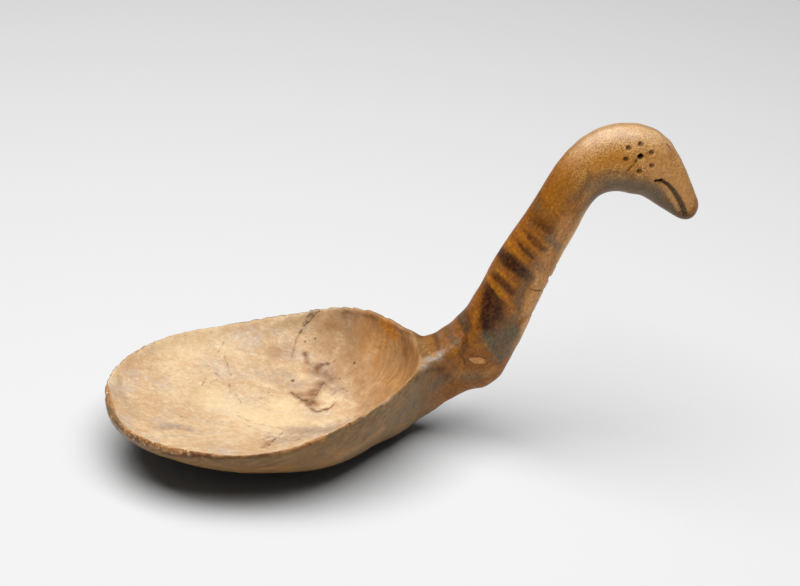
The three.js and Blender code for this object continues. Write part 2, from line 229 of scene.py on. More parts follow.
# Where the knife left more or less wood than an even curve, from the lip to the brow.
# Each is the middle of a swelling, its spread and its push.
LEANS = (
    ((-108, 0, 36), (26, 60, 60), (0, 0, -1.2)),
    ((-50, 66, 37), (60, 25, 10), (0, 0, 0.8)),
    ((27, 57.5, 47), (17, 14, 12), (0, 0, 2.4)),
    ((64.4, 0, 56), (8, 14, 12), (0, 0, -0.9)),
    ((42, 45.5, 50), (14, 12, 10), (0, 0, 1.3)),
    ((65.5, 16, 51.5), (4, 8, 6), (0, 0, -1.4)),
    ((77, 11.5, 56), (5, 10, 6), (-0.3, 0, 1.1)),
    ((109, 3, 110), (17, 40, 17), (-0.5, 0, 0.35)),
    ((74.9, 0, 22.6), (9, 40, 9), (0, 0, -1.3)),
    ((89.4, 0, 26.5), (7, 40, 7), (0, 0, 1.1)),
    ((103.4, 0, 31.8), (9, 40, 9), (1.0, 0, -1.0)),
    ((116.5, 0, 44.6), (10, 40, 10), (-0.9, 0, 0.3)),
    ((94.5, 0, 86.2), (10, 40, 10), (1.0, 0, -0.6)),
    ((129.1, 0, 112.3), (14, 40, 14), (-1.2, 0, 0.4)),
    ((151.4, 0, 127.3), (10, 40, 10), (-0.8, 0, 0.9)),
    ((195.6, 0, 153.5), (10, 40, 10), (-0.8, 0, -0.2)),
)


def lean(places):
    moved = np.zeros_like(places)
    for middle, spread, push in LEANS:
        moved += np.exp(-(((places - middle) / spread) ** 2).sum(1))[:, None] * np.array(push)
    return moved


put_places(carving, places_of(carving) + lean(places_of(carving)))

# Marks are placed as they are seen from the front of the ladle, by their pixels in a picture of this size.
PICTURE_WIDTH = 800
PICTURE_HEIGHT = 586
EYE_PLACE = np.array((-135.1, -1323.5, 766.1))
EYE_TARGET = np.array((50.9, 0.0, 85.09))
LENS = 126.98
SENSOR = 36.0


def sight(u, v):
    ahead = EYE_TARGET - EYE_PLACE
    ahead = ahead / np.linalg.norm(ahead)
    right = np.cross(ahead, (0, 0, 1))
    right = right / np.linalg.norm(right)
    up = np.cross(right, ahead)
    scale = SENSOR / LENS / PICTURE_WIDTH
    ray = ahead + right * (u - PICTURE_WIDTH / 2) * scale + up * (PICTURE_HEIGHT / 2 - v) * scale
    return ray / np.linalg.norm(ray)


def seen(u, v):
    found, place, normal, _ = carving.ray_cast(EYE_PLACE / MM, sight(u, v))
    if not found:
        raise ValueError(f"no wood is seen at {u}, {v}")
    return np.array(place) * MM, np.array(normal)


def seen_at(u, v):
    return seen(u, v)[0]


def seen_line(*pixels):
    return [seen_at(u, v) for u, v in pixels]


EDGE_STEP = 0.25


def edge_at(u, v):
    while not carving.ray_cast(EYE_PLACE / MM, sight(u, v))[0]:
        u -= EDGE_STEP
    return seen_at(u, v)


bpy.context.view_layer.update()

PUPIL = seen_at(640.6, 157.0)
PITS = seen_line((628.8, 148.3), (641, 144.4), (652, 152.9), (652.2, 166), (639.4, 171.7), (626.1, 159.6))
MOUTH = seen_line((656, 181), (661.5, 180.6), (668, 184.5), (674, 191), (679, 199), (683, 207), (685.5, 214))
LIP = seen_line((664.5, 187.5), (669.5, 194), (674, 201.5), (678, 209), (680.5, 213))
EYE_CRACK = seen_line((637, 159), (634.5, 164), (630, 168.5), (627, 171))
SNOUT_CHIPS = seen_line((692.5, 198), (691, 204), (689.5, 208))
CROWN_NICK = seen_line((667, 144), (671, 150))
NECK_CHIPS = [(edge_at(u, v), size) for u, v, size in (
    (560, 265, 0.7), (553, 278.5, 1.15), (547, 289.5, 0.8), (536, 313, 1.0),
)]
NECK_CRACK = seen_line((530, 289), (536, 290.5), (541.5, 290))
SPLIT = seen_line((314, 316), (308, 322), (302, 328.5), (300, 334), (296, 340), (294, 349), (291, 360))
RIM_CRACK = seen_line((268, 446), (273, 441), (277, 437), (282, 433))
ARC = seen_line((304, 353), (306, 361), (310, 366), (317, 367.5), (324, 364), (328, 364.5), (337, 360))
FORK = seen_line((291, 393), (301, 399), (310, 408), (317, 412), (328, 409), (336, 402))
FORK_BRANCH = seen_line((311, 406), (314, 398), (318, 392), (324, 382))
CURLS = [seen_line(*line) for line in (
    ((202, 386), (206, 379)),
    ((209, 389), (211, 382), (216, 380), (220, 382)),
    ((228, 380), (230, 386), (230, 392)),
    ((236, 394), (241, 402)),
    ((213, 372), (218, 375), (223, 379)),
    ((218, 352), (224, 342)),
    ((224, 356), (228, 366), (231, 376)),
    ((238, 416), (256, 424), (282, 429)),
    ((244, 424), (258, 430), (272, 434)),
    ((330, 396), (338, 390), (344, 388)),
    ((257, 450), (264, 447.5), (270, 448.5)),
    ((262, 440), (270, 436.5), (275, 437)),
    ((270, 446), (278, 443.5), (286, 440)),
)]
SPECKS = [(seen_at(u, v), size) for u, v, size in (
    (292.5, 380.5, 1.7), (269.5, 389, 0.7), (269, 392.5, 0.6), (354.4, 363, 1.5), (349, 384, 0.8),
    (340, 379, 0.7), (347, 391, 0.6), (305.3, 341.8, 0.8), (310, 341, 0.6), (315, 338.6, 0.6),
    (182, 416.5, 0.6), (261, 398, 0.6), (356, 369, 0.6), (335, 398, 0.6),
)]
KNOT = np.array((90.85, -12.9, 48.15))
KNOT_TILT = math.radians(-20)
KNOT_HALF_LENGTH = 5.25
KNOT_HALF_WIDTH = 2.3
KNOT_REACHES_IN = -6
FAR_FROM_KNOT = 9.0
OTHER_SIDE = np.array((1, -1, 1))


def both_sides(line):
    return line, [p * OTHER_SIDE for p in line]


DOT_LENGTH = 0.01


def dot(place):
    return [place, place + DOT_LENGTH]


def knot_axes(places):
    x = places[:, 0] - KNOT[0]
    z = places[:, 2] - KNOT[2]
    along = x * math.cos(KNOT_TILT) + z * math.sin(KNOT_TILT)
    across = -x * math.sin(KNOT_TILT) + z * math.cos(KNOT_TILT)
    return along, across


def knot_reach(places):
    along, across = knot_axes(places)
    oval = np.hypot(along / KNOT_HALF_LENGTH, across / KNOT_HALF_WIDTH)
    return np.where(places[:, 1] < KNOT_REACHES_IN, oval, FAR_FROM_KNOT)


def refine(obj, wanted, cuts):
    mesh = obj.data
    pick_only(obj)
    bpy.ops.object.mode_set(mode="EDIT")
    bpy.ops.mesh.select_mode(type="FACE")
    bpy.ops.mesh.select_all(action="DESELECT")
    bpy.ops.object.mode_set(mode="OBJECT")
    corners = np.empty(len(mesh.loops), dtype=np.int32)
    mesh.loops.foreach_get("vertex_index", corners)
    starts = np.empty(len(mesh.polygons), dtype=np.int32)
    mesh.polygons.foreach_get("loop_start", starts)
    mesh.polygons.foreach_set("select", np.logical_or.reduceat(wanted[corners], starts))
    bpy.ops.object.mode_set(mode="EDIT")
    bpy.ops.mesh.subdivide(number_cuts=cuts, smoothness=0)
    bpy.ops.object.mode_set(mode="OBJECT")


CHIP_NARROWING = 0.32


def chip_reach(places, chip):
    ray = chip - EYE_PLACE
    ray = ray / np.linalg.norm(ray)
    along = (places - chip) @ ray
    aside = np.linalg.norm(places - chip - along[:, None] * ray, axis=1)
    return np.hypot(aside, CHIP_NARROWING * along)


HOLE_REACH = 2.2
LIP_REACH = 1.6
NICK_REACH = 1.2
CRACK_REACH = 1.1
SNOUT_CHIP_REACH = 1.6
PAIRED_DETAILS = [(MOUTH, HOLE_REACH), (LIP, LIP_REACH)]
PAIRED_DETAILS += [(dot(hole), HOLE_REACH) for hole in (PUPIL, *PITS)]


def near_details(places, margin):
    wanted = np.abs(knot_reach(places) - 1) < 0.35 + margin * 0.3
    wanted |= distance_to(places, CROWN_NICK) < NICK_REACH + margin
    for line, reach in PAIRED_DETAILS:
        for side in both_sides(line):
            wanted |= distance_to(places, side) < reach + margin
    for line in (EYE_CRACK, NECK_CRACK, SPLIT, RIM_CRACK, ARC, FORK, FORK_BRANCH, *CURLS):
        wanted |= distance_to(places, line) < CRACK_REACH + margin
    for chip in SNOUT_CHIPS:
        wanted |= gap_to(places, chip) < SNOUT_CHIP_REACH + margin
    for chip, size in NECK_CHIPS:
        wanted |= chip_reach(places, chip) < 1.5 * size + margin
    for speck, size in SPECKS:
        wanted |= gap_to(places, speck) < size + margin
    return wanted


# The near side of the neck has a finer mesh, because its bands are painted point by point.
BANDS_LOW = (84, -RIM_HALF, 46)
BANDS_HIGH = (136, 0, 124)
places = places_of(carving)
figured = ((places > BANDS_LOW) & (places < BANDS_HIGH)).all(axis=1)
refine(carving, near_details(places, 1.0) | figured, 1)
refine(carving, near_details(places_of(carving), 0.2), 1)
places = places_of(carving)
normals = normals_of(carving)
rim_reach = distance_to(places, rim_line(RIM_INSET))
hollow = hollow_share(places, normals)

# A fixed seed, so that the stains wander the same way each run.
DRIFT_SEED = 5
ripple.seed_set(DRIFT_SEED)


def drift(places, size):
    return np.array([ripple.noise_vector(Vector(place)) for place in places / size])


def rise_and_fall(places, size):
    return np.array([ripple.noise(Vector(place)) for place in places / size])


# Knife work: slow waves all over, nicks along the far rim, and lumps on the worn front rim.
waves = rise_and_fall(places, 21) * 0.36 + rise_and_fall(places, 8) * 0.1
nicks = np.clip(rise_and_fall(places, 4.5) + 0.7 * rise_and_fall(places, 13) - 0.15, 0, 1)
nicks *= 0.4 + 0.6 * ease(-60, -30, places[:, 0])
rim_top = 1 - ease(1.0, 5.0, rim_reach)
moved = normals * (waves * (1 - 0.6 * rim_top))[:, None]
moved[:, 2] -= nicks * rim_top * ease(10, 40, places[:, 1]) * (1 - 0.92 * ease(0, 25, places[:, 0]))
lumps = np.clip(rise_and_fall(places, 3.2) + 0.6 * rise_and_fall(places, 7) + 0.1, -0.6, 0.6)
on_front_rim = 0.65 * lumps * (1 - ease(2.5, 6.0, rim_reach)) * (1 - ease(-78, -58, places[:, 0]))
moved += normals * on_front_rim[:, None]


def sink(depth, inner, outer, reach):
    return normals * dab(-depth, inner, outer, reach)[:, None]


# The mouth's groove with its gritty lip, the eye, and the ring of pits round it, on both sides of the head.
MOUTH_DEPTH = 1.9
MOUTH_CORNER_DEPTH = 2.0
PUPIL_DEPTH = 5.5
PIT_DEPTH = 1.8
opening = 0.55 + 0.45 * ease(0, 26, PUPIL[2] - 8 - places[:, 2])
for line in both_sides(MOUTH):
    groove_reach = distance_to(places, line) / opening + 0.45 * rise_and_fall(places, 1.0)
    moved += sink(MOUTH_DEPTH, 0.4, 2.0, groove_reach)
grit = rise_and_fall(places, 0.9)
for line in both_sides(LIP):
    reach = distance_to(places, line)
    moved += normals * (dab(0.4, 0.2, 1.5, reach) + dab(0.45 * grit, 0.8, 1.9, reach))[:, None]
mouth_corners = [MOUTH[1], MOUTH[1] * OTHER_SIDE]
for corner in mouth_corners:
    moved += sink(MOUTH_CORNER_DEPTH, 0.5, 1.4, gap_to(places, corner))
for side in (1, -1):
    pupil = PUPIL * (1, side, 1)
    reach = np.hypot(places[:, 0] - pupil[0], places[:, 2] - pupil[2])
    near = np.sign(places[:, 1]) == np.sign(pupil[1])
    moved[:, 1] += dab(side * PUPIL_DEPTH, 1.1, 1.8, reach) * near
    for pit in PITS:
        moved += sink(PIT_DEPTH, 0.7, 1.9, gap_to(places, pit * (1, side, 1)))

# Cracks and chips, each crack with its depth and how far it opens, and a shallow seat for the knot.
for line, depth, inner, outer in (
    (EYE_CRACK, 0.6, 0.1, 0.5),
    (CROWN_NICK, 0.5, 0.1, 0.8),
    (NECK_CRACK, 0.5, 0.1, 0.45),
    (SPLIT, 0.5, 0.15, 0.6),
    (RIM_CRACK, 0.5, 0.1, 0.7),
):
    moved += sink(depth, inner, outer, distance_to(places, line))
SNOUT_CHIP_DEPTH = 0.5
NECK_CHIP_DEPTH = 1.5
KNOT_SEAT_DEPTH = 0.35
splintered = 0.5 * rise_and_fall(places, 1.4)
for chip in SNOUT_CHIPS:
    moved += sink(SNOUT_CHIP_DEPTH, 0.4, 1.3, gap_to(places, chip))
for chip, size in NECK_CHIPS:
    moved += sink(NECK_CHIP_DEPTH * size, 0.5, 1.7, chip_reach(places, chip) / size + splintered)
moved[:, 1] += dab(KNOT_SEAT_DEPTH, 0.92, 1.03, knot_reach(places))

# Stains, streaks and cracks in the wood, each a line with its width, softness and strength. Some marks are
# painted light and shade instead, as noted in their lists.
warped = places + 1.5 * drift(places, 11) + 0.5 * drift(places, 3.2)
frayed = places + 0.5 * drift(places, 11) + 0.4 * drift(places, 2.4)
NECK_FROM = 66


# A mark on the neck goes right through it, and one on the bowl stays on its own face.
def painted(marks):
    layer = np.zeros(len(places))
    for pixels, width, soft, strength in marks:
        line, sides = zip(*(seen(u, v) for u, v in pixels))
        if len(line) == 1:
            line = dot(line[0])
        if min(p[0] for p in line) > NECK_FROM:
            reach = distance_to(frayed * (1, 0, 1), [p * (1, 0, 1) for p in line])
            here = 1.0
        else:
            reach = distance_to(warped, line)
            here = ease(-0.3, 0.2, normals @ np.mean(sides, axis=0))
        stroke = dab(strength * here, max(width - soft, 0) / 2, (width + soft) / 2, reach)
        layer = layer + stroke - layer * stroke
    return layer


def keep_layer(obj, name, values):
    layer = obj.data.attributes.new(name, "FLOAT", "POINT")
    layer.data.foreach_set("value", np.asarray(values, dtype=np.float32))


CREAM_MARKS = (
    (((214, 398), (240, 412), (268, 424)), 16, 18, 0.75),
    (((284, 404), (292, 420)), 12, 14, 0.7),
    (((302, 376),), 5, 6, 0.8),
    (((317, 399), (326, 394)), 4, 4, 0.6),
    (((322, 407), (330, 404)), 2, 2, 0.6),
    (((318, 424), (340, 415)), 5, 6, 0.6),
    (((665, 188), (670, 194.5), (674.5, 202), (678, 208)), 1.4, 1.2, 0.55),
    (((691, 201), (689.5, 207)), 1.8, 1.4, 0.6),
    (((175, 350), (205, 340)), 14, 16, 0.35),
)
LILAC_AND_SHEEN_MARKS = (
    # The first three marks are a painted sheen along the neck's ridge; the rest are grey-lilac stains on the
    # bowl.
    (((421, 366), (430, 360), (438, 355)), 4.8, 4, 0.95),
    (((443, 351), (449, 347)), 3.0, 3, 0.3),
    (((454, 343), (460, 336)), 2.4, 2.4, 0.3),
    (((217, 373), (222, 377)), 1.6, 1.6, 0.8),
    (((158, 428), (174, 425.5), (190, 429)), 6.5, 5, 0.95),
    (((166, 435), (192, 437)), 3, 3, 0.75),
    (((292, 430), (312, 430), (334, 429)), 9, 7, 0.85),
    (((296, 437), (312, 434)), 5, 4, 0.5),
    (((262, 372), (286, 378), (296, 386)), 10, 12, 0.6),
    (((328, 384), (338, 392)), 8, 8, 0.5),
    (((305, 326), (301, 331)), 3, 2.5, 0.7),
    (((212, 345), (222, 340)), 6, 6, 0.35),
    (((120, 395), (135, 415)), 6, 8, 0.4),
)
SHADE_MARKS = (
    (((274, 352), (288, 351)), 8, 8, 0.75),
    (((155, 370), (160, 378)), 8, 8, 0.3),
    (((180, 415), (185, 417)), 1.2, 1.2, 0.8),
    (((326, 330), (340, 326), (350, 330)), 9, 9, 0.45),
    (((318, 345), (328, 350)), 8, 9, 0.5),
    (((345, 345), (352, 365)), 10, 11, 0.6),
    (((340, 375), (350, 390)), 9, 10, 0.5),
    (((316, 372), (330, 378)), 5, 5, 0.5),
    (((292, 431), (312, 431), (334, 429)), 8, 7, 0.35),
    (((164, 428), (186, 429)), 3, 3, 0.5),
    (((270, 443), (286, 440.5), (303, 437)), 8, 6, 0.5),
    (((118, 378), (125, 400)), 3, 4, 0.35),
)
RUST_AND_SHADE_MARKS = (
    # The first two marks darken the far rim's edge: partly brown wood, partly painted shade.
    (((338, 313), (356, 313), (372, 317)), 1.6, 1.8, 0.7),
    (((372, 318), (390, 326), (412, 337)), 1.6, 1.8, 0.6),
    (((291, 393), (301, 399), (309, 406), (316, 411), (327, 409)), 3.0, 3.4, 0.7),
    (((302, 396), (310, 404)), 6.0, 6.0, 0.6),
    (((320, 385), (314, 393), (310, 402)), 7.0, 6.0, 0.8),
    (((320, 410), (331, 408), (336, 402)), 1.2, 1.2, 0.7),
    (((304, 354), (307, 363), (317, 368.5), (326, 365)), 3.6, 3.6, 0.75),
    (((312, 370), (326, 372), (332, 380)), 6.0, 6.0, 0.5),
    (((317, 366), (327, 364.5)), 2.4, 2.0, 0.6),
    (((316, 373), (331, 378)), 4.0, 4.0, 0.3),
    (((263, 447), (270, 442)), 2.4, 2.4, 0.7),
    (((271, 442), (279, 437.5)), 1.3, 1.0, 0.55),
    (((276, 447.5), (285, 443.5)), 1.3, 1.0, 0.6),
    (((284, 437.5), (292, 433.5)), 1.2, 1.0, 0.45),
    (((290, 443), (300, 438.5)), 1.2, 1.0, 0.5),
    (((299, 433.5), (309, 431)), 1.2, 1.0, 0.45),
    (((284, 446), (302, 441)), 2.0, 2.0, 0.4),
    (((192, 455.5), (212, 458)), 2.6, 2.0, 0.7),
    (((225, 464), (260, 466), (292, 464), (325, 457)), 6.0, 5.0, 0.45),
    (((250, 457.5), (268, 455)), 2.6, 2.0, 0.7),
    (((388, 326), (395, 333)), 4.0, 4.0, 0.3),
    (((383, 338), (391, 333), (396, 328)), 1.2, 1.2, 0.5),
    (((403, 340), (405, 354)), 4.0, 4.0, 0.75),
    (((345, 318), (358, 318)), 3.0, 3.0, 0.35),
    (((665, 166), (672, 172)), 6.0, 6.0, 0.2),
)
AMBER_MARKS = (
    (((489, 279), (493, 285.7), (500.7, 292.9), (508.6, 301.4)), 2.4, 0.8, 1.0),
    (((498, 290.5), (505, 297.5)), 3.4, 0.8, 1.0),
    (((508.6, 301.4), (516.4, 312.5)), 2.0, 1.2, 0.7),
    (((498.5, 270.5), (508, 279), (517, 287)), 1.5, 1.0, 0.8),
    (((509, 243), (519, 254), (527, 263)), 2.2, 1.8, 0.8),
    (((519, 233), (530, 243.5), (540, 254)), 1.5, 1.0, 0.9),
    (((534, 233), (546, 245), (556, 255.5)), 0.9, 0.8, 0.85),
    (((508, 247), (513, 250)), 4.0, 4.0, 0.3),
    (((476, 312), (474, 322), (475, 331)), 1.4, 1.2, 0.5),
    (((477, 333), (484, 342), (497, 361)), 1.4, 1.4, 0.45),
    (((472, 338), (480, 349)), 5.0, 5.0, 0.3),
    (((455, 352), (462, 366)), 3.4, 2.6, 0.55),
    (((384, 323), (391, 328.5), (395, 335)), 6.0, 4.0, 0.8),
    (((389, 333), (380, 350), (374, 366)), 5.0, 5.0, 0.3),
    (((266, 468.5), (292, 467.5)), 4.0, 5.0, 0.4),
    (((556, 200), (566, 185)), 12.0, 12.0, 0.55),
    (((552, 214), (557, 207)), 9.0, 9.0, 0.5),
    (((596, 166), (616, 158), (632, 164)), 7.0, 8.0, 0.7),
)
TAN_AND_PAINTED_LIGHT_MARKS = (
    (((566, 222), (557, 240), (548, 256), (540, 272)), 8.0, 8.0, 0.75),
    (((541, 278), (534, 292), (525, 312)), 7.0, 5.0, 1.0),
    (((526, 322), (521, 333)), 4.0, 3.6, 0.9),
    (((460, 374), (474, 376)), 6.0, 6.0, 0.35),
    # Painted light on the cheek and the front of the snout.
    (((655, 166), (668, 172), (680, 187), (687, 200)), 8.0, 7.0, 0.95),
    (((519, 319), (512, 311)), 1.4, 1.2, 0.8),
    (((486, 374), (493, 370)), 5.0, 5.0, 0.5),
    (((660, 152), (668, 164)), 6.0, 7.0, 0.6),
    (((664.5, 187.5), (669.5, 194), (674, 201.5), (678, 209)), 2.6, 1.4, 1.0),
    # Painted light on the snout's tip, where it turns down and away.
    (((691, 199), (690, 206), (687, 211)), 4.0, 2.4, 1.0),
    # A painted highlight along the rim's edge at the handle end.
    (((424, 346), (429, 352), (433, 357)), 1.0, 1.0, 0.6),
    (((452, 346), (456, 351)), 1.4, 1.2, 0.6),
    (((380, 432), (340, 455)), 5.0, 6.0, 0.4),
    (((384, 323), (391, 328.5), (395, 334)), 6.0, 4.0, 0.95),
    (((362, 326), (372, 336), (368, 350)), 9.0, 9.0, 0.4),
    (((150, 444), (178, 452)), 3.0, 2.6, 0.5),
    (((110.2, 391), (111.5, 402), (116.5, 415), (123, 425), (134.5, 433.5), (147, 441)), 1.6, 1.4, 0.8),
    (((282, 450.5), (302, 444.5), (323, 436.5)), 2.8, 2.4, 0.75),
)
OLIVE_AND_SHADE_MARKS = (
    (((487, 336), (500, 334), (513, 330)), 8.0, 7.0, 0.85),
    (((504, 319), (511, 323)), 5.0, 5.0, 0.5),
    (((538, 208), (546, 214)), 4.0, 4.0, 0.4),
    (((492, 345), (503, 342), (514, 336)), 9.0, 4.0, 0.85),
    (((500, 357), (509, 349)), 7.0, 4.0, 0.85),
    (((485.5, 337), (492, 349), (499, 361)), 4.2, 1.8, 0.85),
    (((522, 270), (530, 278)), 6.0, 4.0, 0.6),
    (((502, 254.5), (508, 257)), 4.0, 3.0, 0.5),
    # Painted shade on the lip's outer face.
    (((109.5, 405), (114, 418), (123, 430)), 2.2, 1.6, 0.95),
    (((519, 300), (517, 316)), 5.0, 4.5, 0.6),
    (((525, 283), (520, 294)), 4.0, 4.0, 0.55),
    (((549, 238), (559, 249)), 4.6, 4.0, 0.7),
    (((535, 262), (542, 270)), 4.0, 4.0, 0.35),
    (((463, 318), (465, 327)), 4.6, 4.0, 0.75),
    (((450, 333), (454, 342)), 4.0, 4.0, 0.5),
    (((466, 378), (478, 378)), 7.0, 6.0, 0.55),
    (((433, 386), (445, 378)), 7.0, 6.0, 0.6),
    (((397, 415), (409, 406), (420, 398)), 4.0, 4.0, 0.65),
    (((386, 425), (398, 417)), 3.0, 3.0, 0.4),
    # These four marks under the head are partly a grey stain, partly painted shade.
    (((612, 183), (640, 184), (658, 194)), 7.0, 7.0, 0.7),
    (((590, 186), (604, 180)), 6.0, 6.0, 0.55),
    (((662, 200), (672, 208)), 5.0, 5.0, 0.5),
    (((569, 200), (578, 196)), 4.0, 4.0, 0.35),
)
UMBER_AND_SHADE_MARKS = (
    (((505.5, 258), (512, 263.5)), 7.2, 3.4, 0.78),
    (((512, 263.5), (520, 271)), 7.6, 4.0, 0.82),
    (((524, 273), (528, 277)), 5.0, 4.0, 0.45),
    (((496.5, 277.5), (502, 282), (507, 288), (512, 292.5)), 3.8, 2.2, 0.76),
    (((490.5, 290), (487, 300), (485, 315), (486, 326)), 4.8, 3.2, 0.95),
    (((494, 298), (494, 312), (489, 323)), 6.0, 3.6, 0.85),
    (((500, 305), (498, 316)), 5.5, 4.5, 0.72),
    (((485, 326), (492, 331), (500, 320)), 6.0, 6.0, 0.45),
    (((474, 325), (477, 337)), 7.0, 6.0, 0.26),
    (((442, 343), (450, 341)), 5.0, 5.0, 0.18),
    # These three marks are the dark line under the near rim's lip: partly brown wood, partly painted shade.
    (((195, 455.5), (215, 458), (240, 458.5), (262, 457), (283, 453), (300, 448), (318, 441)), 1.8, 1.6, 0.6),
    (((134, 439), (143, 444.5)), 2.2, 1.8, 0.75),
    (((163, 454), (178, 455.5), (194, 456.5)), 2.4, 2.0, 0.7),
    (((552, 205), (562, 190)), 12.0, 12.0, 0.34),
    (((537, 218), (548, 222)), 8.0, 8.0, 0.32),
    (((408, 342), (411, 352), (404, 366)), 5.0, 6.0, 0.22),
    (((519.5, 244), (533, 257)), 2.0, 1.8, 0.68),
    (((531, 238), (538, 243.5), (545, 250)), 3.2, 3.0, 0.62),
    (((535, 222), (550, 229)), 4.4, 4.4, 0.5),
    (((523, 230), (531, 237)), 1.2, 1.2, 0.5),
    (((543, 229), (556, 236)), 3.0, 3.0, 0.3),
    (((541, 195), (538, 202)), 3.0, 3.0, 0.3),
    (((457, 351), (462, 358), (465, 365)), 1.1, 0.9, 0.85),
    # These two marks are painted shade along the far rim's edge.
    (((340, 311.5), (356, 312), (372, 316.5)), 1.2, 1.2, 0.35),
    (((374, 318), (392, 326), (410, 334), (421, 337.5)), 1.6, 1.4, 0.55),
    (((465, 340), (463, 350)), 3.6, 3.0, 0.5),
    (((416, 378), (430, 372), (444, 369)), 2.6, 2.6, 0.6),
    (((440, 370), (446, 376)), 4.0, 4.0, 0.45),
    (((434, 336), (438, 338)), 1.0, 1.0, 0.6),
    (((600, 174), (622, 172), (632, 176)), 3.0, 3.0, 0.45),
    (((590, 176), (583, 188), (578, 198)), 3.4, 5.0, 0.5),
    (((466, 314), (469, 322), (466, 330)), 3.4, 3.4, 0.55),
    (((461, 322), (463, 328)), 3.0, 3.0, 0.4),
)
cream = painted(CREAM_MARKS)
lilac_and_sheen = painted(LILAC_AND_SHEEN_MARKS)
shade = painted(SHADE_MARKS)
rust_and_shade = painted(RUST_AND_SHADE_MARKS)
amber = painted(AMBER_MARKS)
tan_and_painted_light = painted(TAN_AND_PAINTED_LIGHT_MARKS)
olive_and_shade = painted(OLIVE_AND_SHADE_MARKS)
umber_and_shade = painted(UMBER_AND_SHADE_MARKS)

# The near-black layer: specks and open cracks, the pupil painted near-black, and painted shade in the mouth's
# groove and corners, in and above the pits, in the neck's chips and in the knot's seat. Fine cracks are
# brown, and both come and go.
soot_and_shade = np.zeros(len(places))
smudged = places + 0.5 * drift(places, 1.3)
for speck, size in SPECKS:
    soot_and_shade = np.maximum(soot_and_shade, dab(0.8, 0.2 * size, 1.05 * size, gap_to(smudged, speck)))
wavering = places + 0.5 * drift(places, 1.6)
fading = 0.25 + 0.75 * ease(-0.2, 0.3, rise_and_fall(places, 2.6))
for line, width, strength in (
    (EYE_CRACK, 1.1, 0.95), (NECK_CRACK, 0.8, 0.6), (CROWN_NICK, 1.1, 0.75), (SPLIT, 0.7, 0.4),
):
    soot_and_shade = np.maximum(soot_and_shade, dab(strength * fading, 0.05, width, distance_to(wavering, line)))
crack = np.zeros(len(places))
for line, width, strength in (
    (RIM_CRACK, 0.9, 0.9), (ARC, 0.9, 0.9), (FORK, 0.8, 0.85), (FORK_BRANCH, 0.9, 0.9),
    *((curl, 0.75, 0.62) for curl in CURLS),
):
    crack = np.maximum(crack, dab(strength * fading, 0.05, width, distance_to(wavering, line)))
# The mouth's groove and corners get painted shade: near-black in the middle and at the corners, grey-brown
# across the groove.
for line in both_sides(MOUTH):
    reach = distance_to(places, line) / opening
    soot_and_shade = np.maximum(soot_and_shade, dab(0.3, 0.2, 1.0, reach))
    olive_and_shade = np.maximum(olive_and_shade, dab(0.9, 0.9, 1.9, reach))
for corner in mouth_corners:
    soot_and_shade = np.maximum(soot_and_shade, dab(0.95, 0.7, 1.4, gap_to(places, corner)))
# The pupil is painted near-black; each pit gets painted shade inside and a painted shadow on its upper side.
PIT_SHADOW = (-0.55, 0, 0.75)
for side in (1, -1):
    soot_and_shade = np.maximum(soot_and_shade, dab(1, 1.2, 1.8, gap_to(places, PUPIL * (1, side, 1))))
    for pit in PITS:
        soot_and_shade = np.maximum(soot_and_shade, dab(0.2, 0.8, 1.8, gap_to(places, pit * (1, side, 1))))
        soot_and_shade = np.maximum(soot_and_shade, dab(0.7, 0.3, 1.25, gap_to(places, (pit + PIT_SHADOW) * (1, side, 1))))
# Painted shade inside the neck's chips.
for chip, size in NECK_CHIPS:
    soot_and_shade = np.maximum(soot_and_shade, dab(0.8, 0.8, 1.8, chip_reach(places, chip) / size + splintered))
for chip in SNOUT_CHIPS:
    rust_and_shade = np.maximum(rust_and_shade, dab(0.8, 0.2, 0.9, gap_to(places, chip)))
shadowed = 0.4 * ease(-0.4, 1.6, places[:, 2] - KNOT[2])
soot_and_shade = np.maximum(soot_and_shade, dab(shadowed, 0.02, 0.16, np.abs(knot_reach(places) - 1.02)))
# Facing masks: upward faces carry the head's painted highlight and its coat, the crest painted shade, and
# downward faces the paler underside of the neck and the painted shade under the head.
underside = ease(0.05, 0.5, -normals[:, 2])
topside = ease(0.25, 0.85, normals[:, 2])
crest_shade = topside * (1 - ease(0.04, 0.3, np.abs(normals[:, 1])))
# Painted shade on the far rim's edge, on its faces turned away.
far_edge_shade = (1 - ease(2.0, 4.0, rim_reach)) * ease(0.0, 0.35, normals[:, 1]) * ease(5, 25, places[:, 1])
for name, values in (
    ("hollow", hollow), ("rim", rim_reach), ("underside", underside), ("topside", topside),
    ("crest_shade", crest_shade), ("far_edge_shade", far_edge_shade), ("cream", cream), ("lilac_and_sheen", lilac_and_sheen),
    ("shade", shade), ("rust_and_shade", rust_and_shade), ("amber", amber), ("tan_and_painted_light", tan_and_painted_light),
    ("olive_and_shade", olive_and_shade), ("umber_and_shade", umber_and_shade), ("crack", crack), ("soot_and_shade", soot_and_shade),
):
    keep_layer(carving, name, values)

# The grain of the bowl's end wall runs down it, from the rim to the floor.
WALL_TOP = (395, 334)
WALL_FOOT = (356, 412)
wall_top, wall_top_face = seen(*WALL_TOP)
wall_foot, wall_foot_face = seen(*WALL_FOOT)
wall_run = wall_foot - wall_top
wall_run = wall_run / np.linalg.norm(wall_run)
wall_side = np.cross(wall_top_face + wall_foot_face, wall_run)
wall_side = wall_side / np.linalg.norm(wall_side)

# No point goes below the floor that the ladle stands on.
moved[:, 2] = np.maximum(moved[:, 2], -places[:, 2])
put_places(carving, places + moved)


def tint(red, green, blue):
    def linear(value):
        value = value / 255
        return value / 12.92 if value <= 0.04045 else ((value + 0.055) / 1.055) ** 2.4
    return (linear(red), linear(green), linear(blue), 1)


